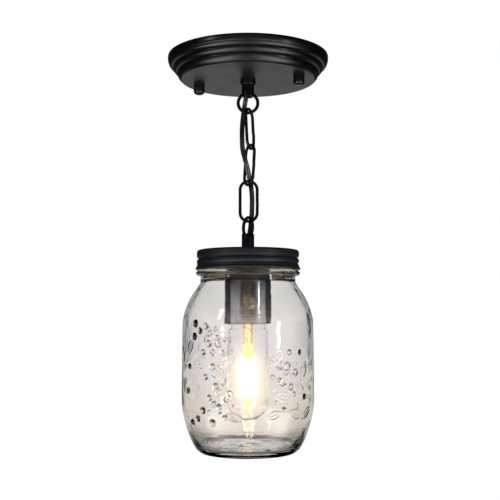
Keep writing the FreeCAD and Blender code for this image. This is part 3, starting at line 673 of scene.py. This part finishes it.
def dress_link(name):
    """A link of cut wire: round at both ends, its last run leaning out a little at its open seam."""
    seam_gap, short_steps, long_steps, round_steps, wire_steps = 0.2, 8, 10, 28, 18
    crown = LINK_TOPS[name]
    top, low = crown - LINK_SIDE, crown - LINK_REACH + LINK_SIDE
    seam = low + (top - low) * SEAM_SHARES[name]
    half_turn = np.linspace(0, math.pi, round_steps)
    path = [(LINK_SIDE, z) for z in np.linspace(seam + seam_gap, top, short_steps)[:-1]]
    path += [(LINK_SIDE * math.cos(a), top + LINK_SIDE * math.sin(a)) for a in half_turn]
    path += [(-LINK_SIDE, z) for z in np.linspace(top, low, long_steps)[1:-1]]
    path += [(-LINK_SIDE * math.cos(a), low - LINK_SIDE * math.sin(a)) for a in half_turn]
    for t in np.linspace(0, 1, short_steps)[1:]:
        path.append((LINK_SIDE + SEAM_LEANS[name] * t * t * (3 - 2 * t), low + (seam - low) * t))
    bearing, tilt = math.radians(LINK_TURNS[name]), math.radians(LINK_TILTS[name])
    points = []
    for out, z in path:
        x, y, drop = out * math.cos(bearing), out * math.sin(bearing), z - crown
        leaning = x * math.cos(tilt) - drop * math.sin(tilt) + LINK_SHIFTS[name]
        points.append((leaning, y, crown + x * math.sin(tilt) + drop * math.cos(tilt)))
    link = swept("link_%s_wire" % name, points, circle(LINK_WIRE, wire_steps))
    dress(link, CHAIN, "link_" + name, "black_coat", "chain_link_" + name)


# Lid
def dress_band():
    """The screw band, with two rolled grooves and a cream lining."""
    outer, sheet, corner, mouth, bead = 37.75, 0.5, 1.8, 30.5, 38.8
    edge, edge_drop, bead_top, bead_middle = 0.3, 0.35, 2.6, 1.04
    upper, upper_width, upper_depth = -151.5, 0.75, 1.25
    lower, lower_width, lower_depth, lower_fade = -155.6, 0.7, 0.8, 0.38
    tilt, wall_margin, fine = 0.35, 0.1, 0.4
    points = profile(
        (mouth, BAND_TOP - edge_drop), (mouth + edge, BAND_TOP), (outer - corner, BAND_TOP),
        bend((outer, BAND_TOP), (outer, BAND_TOP - corner)), (outer, BAND_LOW + bead_top),
        (bead, BAND_LOW + bead_middle), bend((bead, BAND_LOW), (outer, BAND_LOW)),
        (outer - sheet, BAND_LOW), (outer - sheet, BAND_TOP - corner),
        bend((outer - sheet, BAND_TOP - sheet), (outer - corner, BAND_TOP - sheet)),
        (mouth, BAND_TOP - sheet),
    )

    def relief(angles, radius, height):
        """Both grooves lie a little askew, and the lower one fades out round the left."""
        inside = radius < outer - sheet - wall_margin
        if inside or height > BAND_TOP - corner or height < BAND_LOW + bead_top:
            return 0.0
        rise = tilt * np.cos(angles)
        high_groove = np.exp(-(((height - upper - rise) / upper_width) ** 2))
        low_groove = np.exp(-(((height - lower - rise) / lower_width) ** 2))
        low_groove *= 1 - lower_fade + lower_fade * np.cos(angles)
        return -upper_depth * high_groove - lower_depth * low_groove

    points = divided(points, lambda here, after: fine)
    band = turned("band_shell", points, segments=288, relief=relief, sharp=40.0)
    dress(band, LID, "lamp", "black_lid", "lid_band")
    inwards = -0.01
    line_faces(band, LINER, lambda face: face.normal.xy.dot(face.center.xy) < inwards)


def dress_disc():
    """The lid's disc, with a sunk ring round the loop, a raised one near its edge and a cream lining."""
    hole, edge, top, low = 4.0, 35.2, DISC_TOP, DISC_LOW

    def ring(middle, foot, crest, rise):
        crests = [(middle - crest, top + rise), (middle + crest, top + rise)]
        return [(middle - foot, top), *crests, (middle + foot, top)]

    points = profile(
        (hole, top), *ring(middle=13.0, foot=1.0, crest=0.4, rise=-0.22),
        *ring(middle=28.2, foot=1.2, crest=0.4, rise=0.3), (edge, top), (edge, low), (hole, low),
    )
    disc = turned("disc_shell", points, segments=160, sharp=20.0)
    dress(disc, LID, "lamp", "black_lid", "lid_disc")
    downwards = -0.9
    line_faces(disc, LINER, lambda face: face.normal.z < downwards)


# Jar
def sprigs():
    """Berries, rings and leaves of a generic vine, as (kind, bearing, height, size, tilt), bearings in
    degrees from the front. The same forms go round the back, mirrored, closer together and lower."""
    back_spread, back_drop = 0.9, 3
    berries = [
        (-50, -199, 2.6), (-44, -204, 2.3), (-51, -208, 2.5), (-37, -201, 2.2), (-34, -213, 2.5),
        (-26, -209, 2.1), (-40, -219, 2.2), (-21, -219, 2.0), (-30, -229, 2.4), (-37, -236, 2.1),
        (-27, -242, 2.4), (-33, -250, 2.2), (-24, -256, 2.1), (-40, -259, 2.4), (-47, -265, 2.2),
        (-31, -267, 2.3), (-56, -268, 2.0), (-19, -263, 1.8), (-60, -246, 1.9), (-58, -229, 1.8),
        (49, -219, 1.9), (27, -238, 1.8), (55, -250, 1.9), (31, -258, 1.7),
    ]
    rings = [(34, -229, 3.6), (43, -233, 2.8), (38, -243, 2.6), (-15, -247, 2.2)]
    leaves = [
        (-58, -215, 6.5, 60), (-45, -226, 7.0, 20), (-52, -238, 6.5, -35), (-44, -247, 6.0, 35),
        (-24, -233, 5.5, -50), (-17, -225, 5.5, 30), (24, -222, 7.0, 50), (47, -243, 7.5, -30),
        (30, -249, 6.5, -10), (54, -232, 7.0, 65), (22, -262, 6.0, 20), (44, -262, 7.0, -20),
        (-12, -263, 5.5, -15), (60, -262, 6.0, 40),
    ]
    forms = [("berry", *place, 0) for place in berries]
    forms += [("ring", *place, 0) for place in rings]
    forms += [("leaf", *place) for place in leaves]
    back = []
    for kind, bearing, height, size, tilt in forms:
        back.append((kind, 180 - bearing * back_spread, height - back_drop, size, -tilt))
    return forms + back


def berry_relief(u, v, size, tilt):
    """A dome, lower than a half ball. Like a ring it is round, so its tilt has no use."""
    height = 0.8 * size
    share = np.sqrt(u * u + v * v) / size
    return np.where(share < 1, height * np.sqrt(np.clip(1 - share * share, 0, 1)), 0)


def ring_relief(u, v, size, tilt):
    """A round ridge."""
    height, width, middle, outermost = 1.0, 0.6, 0.72, 1.4
    share = np.sqrt(u * u + v * v) / size
    return height * np.exp(-((np.abs(share - middle) * size / width) ** 2)) * (share < outermost)


def leaf_relief(u, v, size, tilt):
    """A pointed leaf's rim and its middle vein."""
    slimness, rim_width, rim_height, vein_width, vein_height = 0.42, 0.45, 0.34, 0.35, 0.26
    t = math.radians(tilt)
    a, b = u * math.cos(t) + v * math.sin(t), v * math.cos(t) - u * math.sin(t)
    half = slimness * size * np.clip(1 - (a / size) ** 2, 0, 1)
    rim = np.exp(-((np.abs(np.abs(b) - half) / rim_width) ** 2)) * rim_height
    vein = np.exp(-((b / vein_width) ** 2)) * vein_height * (np.abs(b) < half)
    return np.where(np.abs(a) < size, np.maximum(rim, vein), 0)


def cast_relief():
    """A relief: the sprigs that stand on the jar's wall."""
    forms = sprigs()
    shapes = {"berry": berry_relief, "ring": ring_relief, "leaf": leaf_relief}
    skin, reach = 47.9, 1.3

    def relief(angles, radius, height):
        out = np.zeros_like(angles)
        if radius < CARVED_RADIUS or height > CARVED_TOP:
            return out
        for kind, bearing, middle, size, tilt in forms:
            if abs(height - middle) <= size * reach:
                across = (angles - math.radians(bearing - 90) + math.pi) % TURN - math.pi
                out += shapes[kind](across * skin, height - middle, size, tilt)
        return out

    return relief


def dress_jar():
    """The glass with its cast sprigs, and its screw thread under the band."""
    finish, finish_wall, rounding, bead, bead_height = 34.6, 3.6, 1.4, 38.3, 2.1
    wall, neck, bore = 2.9, 34.95, finish - finish_wall
    foot_drop, low_drop, base, punt, punt_radius = 123.9, 128.0, 4.0, 2.8, 22.4
    foot_radius, heel, tread_outer, tread_inner = 38.5, 35.8, 33.0, 28.0
    foot, low = (foot_radius, NECK_TOP - foot_drop), NECK_TOP - low_drop
    floor = low + base
    drops = [
        (neck, 4.2), (neck, 5.4), (39.15, 11.3), (47.9, 22.7), (47.9, 35.0), (48.25, 67.4), (48.25, 90.2),
        (47.85, 109.3),
    ]
    out = [(radius, NECK_TOP - drop) for radius, drop in drops]
    inn = [(radius - wall, NECK_TOP - drop) for radius, drop in drops]
    points = profile(
        (bore + rounding, JAR_TOP), (finish - rounding, JAR_TOP),
        bend((finish, JAR_TOP), (finish, JAR_TOP - rounding)), (finish, BEAD_TOP),
        bend((bead, BEAD_TOP), (bead, NECK_TOP + bead_height)),
        bend((bead, NECK_TOP), (neck, NECK_TOP)), out[0], bend(out[1], out[2]), bend(out[3], out[4]),
        out[5], out[6], bend(out[7], foot), bend((heel, low), (tread_outer, low)), (tread_inner, low),
        bend((punt_radius, low + punt), (0, low + punt)),
        (0, floor + punt), bend((punt_radius, floor + punt), (tread_inner, floor)),
        bend((heel - wall / 2, floor), (foot[0] - wall, foot[1] + base - wall / 2)),
        bend(inn[7], inn[6]), inn[5], inn[4], bend(inn[3], inn[2]),
        bend(inn[1], (bore, NECK_TOP)), (bore, JAR_TOP - rounding),
        bend((bore, JAR_TOP), (bore + rounding, JAR_TOP)),
        fineness=12,
    )
    fine, coarse = 0.5, 1.2

    def longest(here, after):
        return fine if min(here[0], after[0]) > CARVED_RADIUS and here[1] < CARVED_TOP else coarse

    carved = cast_relief()
    thread_low, thread_high, thread_start = BEAD_TOP + 1.5, JAR_TOP - 0.8, JAR_TOP - 2.0
    screw = thread(5.08, 1.15, thread_low, thread_high, start=thread_start, width=0.45, fade=0.8)
    finish_low, skin = BEAD_TOP + 0.5, 0.1

    def relief(angles, radius, height):
        if height > finish_low:
            return screw(angles, radius, height) if radius > finish - skin else 0.0
        return carved(angles, radius, height)

    glass = turned("jar_shell", divided(points, longest), segments=560, relief=relief, sharp=60.0)
    dress(glass, JAR_GLASS, "jar_body", "jar_glass", "jar").visible_shadow = False


# Socket and bulb
def dress_socket():
    """The drawn socket shell, open below."""
    outer, wall, hole, shoulder, edge, inner_edge = 17.3, 1.2, 4.0, 2.2, 0.4, 0.3
    top, low, inner = SOCKET_TOP, SOCKET_LOW, outer - wall
    points = profile(
        (hole, top), (outer - shoulder, top), bend((outer, top), (outer, top - shoulder)),
        (outer, low + edge), bend((outer, low), (outer - edge, low)), (inner + inner_edge, low),
        (inner, low + inner_edge), (inner, top - wall), (hole, top - wall),
    )
    dress(turned("socket_shell_skin", points), GUNMETAL, "lamp", "gunmetal", "socket_shell")


def dress_envelope():
    """The bulb's clear glass: a neck in the base, a shoulder, a straight tube and a domed end."""
    outer, neck_inner = 15.0, BULB_NECK - BULB_WALL
    top, end, inner_end = GLASS_TOP + BULB_TUCK, BULB_LOW, BULB_LOW + BULB_WALL
    flare_drop, dome_height = 7.5, 12.0
    flare, shoulder, dome = GLASS_TOP - flare_drop, GLASS_TOP - 2 * flare_drop, BULB_LOW + dome_height
    middle, inner = (BULB_NECK + outer) / 2, outer - BULB_WALL
    points = profile(
        (neck_inner, top), (BULB_NECK, top), (BULB_NECK, GLASS_TOP),
        bend((BULB_NECK, flare), (middle, flare)), bend((outer, flare), (outer, shoulder)), (outer, dome),
        bend((outer, end), (0, end)), (0, inner_end), bend((inner, inner_end), (inner, dome)),
        (inner, shoulder), bend((inner, flare), (middle - BULB_WALL, flare)),
        bend((neck_inner, flare), (neck_inner, GLASS_TOP)),
        fineness=10,
    )
    envelope = turned("bulb_envelope", points, segments=112, sharp=50.0)
    dress(envelope, BULB_GLASS, "bulb_body", "bulb_clear", "bulb_glass").visible_shadow = False


def dress_stem():
    """The glass stem that holds the filaments, swollen at its end."""
    clearance, plug_height, length, thin, end_radius = 0.02, 1.0, 29.0, 3.5, 3.0
    plug = BULB_NECK - BULB_WALL - clearance
    top, low = GLASS_TOP + BULB_TUCK, GLASS_TOP - length
    waist, swelling, swollen = low + 6.0, (3.7, low + 5.0), (3.4, low + 2.6)
    points = profile(
        (0, top), (plug, top), (plug, top - plug_height),
        bend((thin, top - plug_height), (thin, GLASS_TOP)), (thin, waist), bend(swelling, swollen),
        bend((end_radius, low), (0, low)),
    )
    skin = turned("bulb_stem_skin", points, segments=48, sharp=50.0)
    dress(skin, STEM_GLASS, "bulb_body", "bulb_clear", "bulb_stem")


def dress_tip():
    """The stem's tip between the filaments, round at its low end, glowing with painted light though it is no
    lamp.
    """
    radius, top = 1.5, -225.2
    points = profile(
        (0, top), (radius, top), (radius, FILAMENT_LOW + radius),
        bend((radius, FILAMENT_LOW), (0, FILAMENT_LOW)),
    )
    tip = turned("stem_tip", points, segments=24, sharp=60.0)
    dress(tip, STEM_TIP_PAINTED_GLOW, "bulb_body", "filament_glow")


def dress_wires():
    """Fine wires that fan out from the stem, and from below, to the filaments' ends. A fan is given as
    its first height and radius and its last height."""
    wire, count, steps, wire_steps = 0.22, 8, 7, 8
    fans = [(-214.5, 2.5, -227.0), (-264.0, 0.5, -251.6)]
    wires = []
    for number in range(count):
        bearing = TURN / count * number
        across = np.array((math.cos(bearing), math.sin(bearing), 0.0))
        for start, near, end in fans:
            line = []
            for t in np.linspace(0, 1, steps):
                height = np.array((0, 0, start + (end - start) * t))
                line.append(across * (near + (FILAMENT_RING - near) * t ** 2) + height)
            wires.append(swept("wire", line, circle(wire, wire_steps)))
    # The wires get a golden painted glow.
    dress(joined("filament_wires", *wires), GOLD_WIRE_PAINTED_GLOW, "bulb_body", "filament_glow")


def dress_bulb_base():
    """The screw base: a thin threaded shell, closed and tapered at its top."""
    shell, sheet, rim, taper = 13.1, 0.5, 10.0, 3.1
    inner, top = shell - sheet, BULB_BASE_TOP
    thread_low, thread_high, thread_start = GLASS_TOP + 1.8, top - 3.2, top - 5.0
    points = profile(
        (0, top), (rim, top), (shell, top - taper), (shell, GLASS_TOP), (inner, GLASS_TOP),
        (inner, top - taper), (rim - sheet, top - sheet), (0, top - sheet),
    )
    screw = thread(3.63, -1.0, thread_low, thread_high, start=thread_start, width=0.95, fade=1.2)
    threaded, between, inner_share, fine = 12.0, 12.9, 0.5, 0.45

    def relief(angles, radius, height):
        """The whole thread outside, half of it inside and none on the closed top."""
        if radius <= threaded:
            return 0.0
        return screw(angles, radius, height) * (inner_share if radius < between else 1.0)

    points = divided(points, lambda here, after: fine)
    skin = turned("bulb_base_skin", points, segments=96, relief=relief, sharp=50.0)
    dress(skin, SOLDER, "bulb_body", "brass", "bulb_base")


def dress_filaments():
    """Four upright lit rods in a ring."""
    radius, rounding = 0.85, 1.2
    points = profile(
        (0, FILAMENT_LOW), bend((radius, FILAMENT_LOW), (radius, FILAMENT_LOW + rounding)),
        (radius, FILAMENT_TOP - rounding), bend((radius, FILAMENT_TOP), (0, FILAMENT_TOP)),
    )
    for number, letter in enumerate("abcd"):
        bearing = TURN / 4 * (number + 0.5)
        place = (FILAMENT_RING * math.cos(bearing), FILAMENT_RING * math.sin(bearing))
        rod = turned("filament_%s_rod" % letter, points, segments=20, sharp=60.0, place=place)
        dress(rod, FILAMENT, "bulb_body", "filament_glow", "filament_" + letter)


# Solids that stay as they are
def finish_solids():
    """Gives the solids that no piece stands for their materials."""
    kept = {
        ZINC: [
            "ceiling_strap", "swivel_eyelet", "stud_strap", "stud_nuts", "loop_washer", "loop_nut",
            "socket_nut",
        ],
        GREEN: ["ground_screw"],
        CORD: ["lead_live", "socket_lead_live"],
        WHITE: ["lead_neutral", "socket_lead_neutral"],
        COPPER: ["lead_tips"],
        RUBBER: ["jar_seal"],
        PORCELAIN: ["socket_core"],
        BRASS: ["screw_shell", "centre_contact", "terminal_screws"],
        SOLDER: ["bulb_tip"],
        VITRITE: ["bulb_insulator"],
        # The carriers get the same golden painted glow.
        GOLD_WIRE_PAINTED_GLOW: ["upper_carrier", "lower_carrier"],
    }
    for material, nodes in kept.items():
        for node in nodes:
            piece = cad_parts[node]
            piece.data.materials.clear()
            piece.data.materials.append(material)


# Stage: the floor and the world, in metres and directions
def plain_floor():
    """White to the camera, and a matt floor to the light. Gloss sees a bright card on it to the left and
    right in front, dim between, and a faint patch behind. Glass sees it grey near by and pale far off."""
    side, level = 4.0, -0.52
    front_far, far_share, front_near = (-1.5, -0.3), 0.2, (-0.2, -0.04)
    card_inner, card_outer = (0.1, 0.42), (0.5, 1.1)
    card, between, beside = 5.0, 0.7, 0.1
    patch_span, patch, patch_side = (0.3, 1.0), 0.6, 0.02
    glass_span, glass_near, glass_far = (0.7, 1.35), 0.16, 0.92
    corners = [(-side, -side, level), (side, -side, level), (side, side, level), (-side, side, level)]
    mesh = bpy.data.meshes.new("floor")
    mesh.from_pydata(corners, [], [(0, 1, 2, 3)])
    floor = bpy.data.objects.new("floor", mesh)
    scene.collection.objects.link(floor)
    material = bpy.data.materials.new("floor_pale")
    nodes = emptied(material)
    rays = nodes.add("ShaderNodeLightPath").outputs
    at = nodes.add("ShaderNodeTexCoord").outputs["Object"]
    place = nodes.add("ShaderNodeSeparateXYZ", {0: at}).outputs
    off = nodes.compute("ABSOLUTE", place["X"])
    behind = nodes.compute(
        "MINIMUM",
        nodes.ramp(place["Y"], patch_span, (0.0, patch)),
        nodes.ramp(off, patch_span, (patch, patch_side)),
    )
    before = nodes.compute(
        "MINIMUM",
        nodes.ramp(place["Y"], front_far, (far_share, 1.0)),
        nodes.ramp(place["Y"], front_near, (1.0, 0.0)),
    )
    cards = nodes.compute(
        "MINIMUM",
        nodes.ramp(off, card_inner, (between, card)),
        nodes.ramp(off, card_outer, (card, beside)),
    )
    gloss = nodes.compute("MAXIMUM", behind, nodes.compute("MULTIPLY", before, cards))
    reach = nodes.add("ShaderNodeVectorMath", {0: at}, operation="LENGTH").outputs["Value"]
    glass = nodes.ramp(reach, glass_span, (glass_near, glass_far))
    glow = nodes.choose(rays["Is Transmission Ray"], gloss, glass)
    glow = nodes.compute("MAXIMUM", glow, rays["Is Camera Ray"])
    seen = nodes.compute("MAXIMUM", rays["Is Camera Ray"], rays["Is Glossy Ray"])
    seen = nodes.compute("MAXIMUM", seen, rays["Is Transmission Ray"])
    matt = nodes.add("ShaderNodeBsdfDiffuse", {"Color": rgb(0.8, 0.8, 0.79)})
    tone = nodes.mix(rays["Is Transmission Ray"], rgb(1.0, 1.0, 1.0), rgb(1.0, 0.92, 0.8))
    pale = nodes.add("ShaderNodeEmission", {"Color": tone, "Strength": glow})
    surface = nodes.add("ShaderNodeMixShader", {0: seen, 1: matt.outputs[0], 2: pale.outputs[0]})
    nodes.add("ShaderNodeOutputMaterial", {"Surface": surface.outputs[0]})
    mesh.materials.append(material)


def surroundings():
    """White to the camera and an even light to matt skins. Gloss sees a dim room in front. Glass sees a
    pale, mottled room with dark wings beside the backdrop, a dark, warm door in front and a dimmer
    ceiling. Depth goes from -1 in front of the lamp to 1 behind it."""
    even, backdrop_end, backdrop = 0.42, (0.7, 1.0), 0.04
    front_end, front, elsewhere = (-0.95, -0.3), 0.22, 0.01
    gloss_ceiling, gloss_above, glass_ceiling, glass_above = (0.3, 0.6), 0.5, (0.25, 0.6), 0.4
    wing_inner, wing_outer, wing_height = (0.0, 0.15), (0.74, 0.98), (0.3, 0.5)
    door_end, door_height, room = (-0.86, -0.72), (0.09, 0.15), 0.85
    mottle_scale, mottle_span = 23.0, (0.01, 0.06)
    world = bpy.data.worlds.new("studio")
    scene.world = world
    nodes = emptied(world)
    rays = nodes.add("ShaderNodeLightPath").outputs
    sight = nodes.add("ShaderNodeTexCoord").outputs["Generated"]
    towards = nodes.add("ShaderNodeSeparateXYZ", {0: sight}).outputs
    depth, height = towards["Y"], towards["Z"]
    tall = nodes.compute("ABSOLUTE", height)

    def smooth(value, span, result):
        return nodes.ramp(value, span, result, "SMOOTHSTEP")

    def product(first, second):
        return nodes.compute("MULTIPLY", first, second)

    in_front = smooth(depth, front_end, (front, elsewhere))
    in_front = product(in_front, smooth(height, gloss_ceiling, (1.0, gloss_above)))
    gloss = nodes.compute("ADD", smooth(depth, backdrop_end, (0.0, backdrop)), in_front)
    mottle = nodes.spread(nodes.noise(sight, mottle_scale, rough=0.6), mottle_span, half=0.15)
    wings = product(smooth(depth, wing_inner, (0.0, 1.0)), smooth(depth, wing_outer, (1.0, 0.0)))
    wings = product(wings, smooth(tall, wing_height, (1.0, 0.0)))
    door = product(smooth(depth, door_end, (1.0, 0.0)), smooth(tall, door_height, (1.0, 0.0)))
    shade = nodes.compute("MAXIMUM", wings, door)
    pale = nodes.ramp(shade, (0.0, 1.0), (room, 0.0))
    pale = product(pale, smooth(height, glass_ceiling, (1.0, glass_above)))
    glass = nodes.compute("ADD", pale, mottle)
    strength = nodes.choose(rays["Is Glossy Ray"], even, gloss)
    strength = nodes.choose(rays["Is Transmission Ray"], strength, glass)
    strength = nodes.choose(rays["Is Camera Ray"], strength, 1.0)
    warm = nodes.mix(door, rgb(1.0, 1.0, 1.0), rgb(1.0, 0.62, 0.5))
    colour = nodes.mix(rays["Is Transmission Ray"], rgb(1.0, 1.0, 1.0), warm)
    sky = nodes.add("ShaderNodeBackground", {"Color": colour, "Strength": strength})
    nodes.add("ShaderNodeOutputWorld", {"Surface": sky.outputs[0]})


def softbox(name, place, size, power):
    """A rectangular lamp in metres and watts, turned to the middle of the object."""
    middle = Vector((0, 0, -0.15))
    lamp = bpy.data.lights.new(name, "AREA")
    lamp.shape = "RECTANGLE"
    lamp.size, lamp.size_y = size
    lamp.energy = power
    holder = bpy.data.objects.new(name, lamp)
    holder.location = place
    holder.rotation_euler = (middle - Vector(place)).to_track_quat("-Z", "Y").to_euler()
    scene.collection.objects.link(holder)


dress_cord()
dress_canopy()
dress_cap_nuts()
dress_studs()
dress_collar()
dress_loop("upper_loop", PLATE_Z, down=-1, tube=12.5, stem=7.6, turn=0.0, body="canopy_body")
dress_loop("lower_loop", DISC_TOP, down=1, tube=13.0, stem=6.6, turn=-62.5, body="lamp")
for link_name in LINK_TOPS:
    dress_link(link_name)
dress_band()
dress_disc()
dress_jar()
dress_socket()
dress_envelope()
dress_tip()
dress_wires()
dress_stem()
dress_bulb_base()
dress_filaments()
finish_solids()
plain_floor()
surroundings()
softbox("softbox_right", place=(0.95, -0.7, -0.12), size=(0.1, 0.22), power=0.9)
softbox("softbox_left", place=(-0.95, -0.75, 0.3), size=(0.14, 0.4), power=1.4)
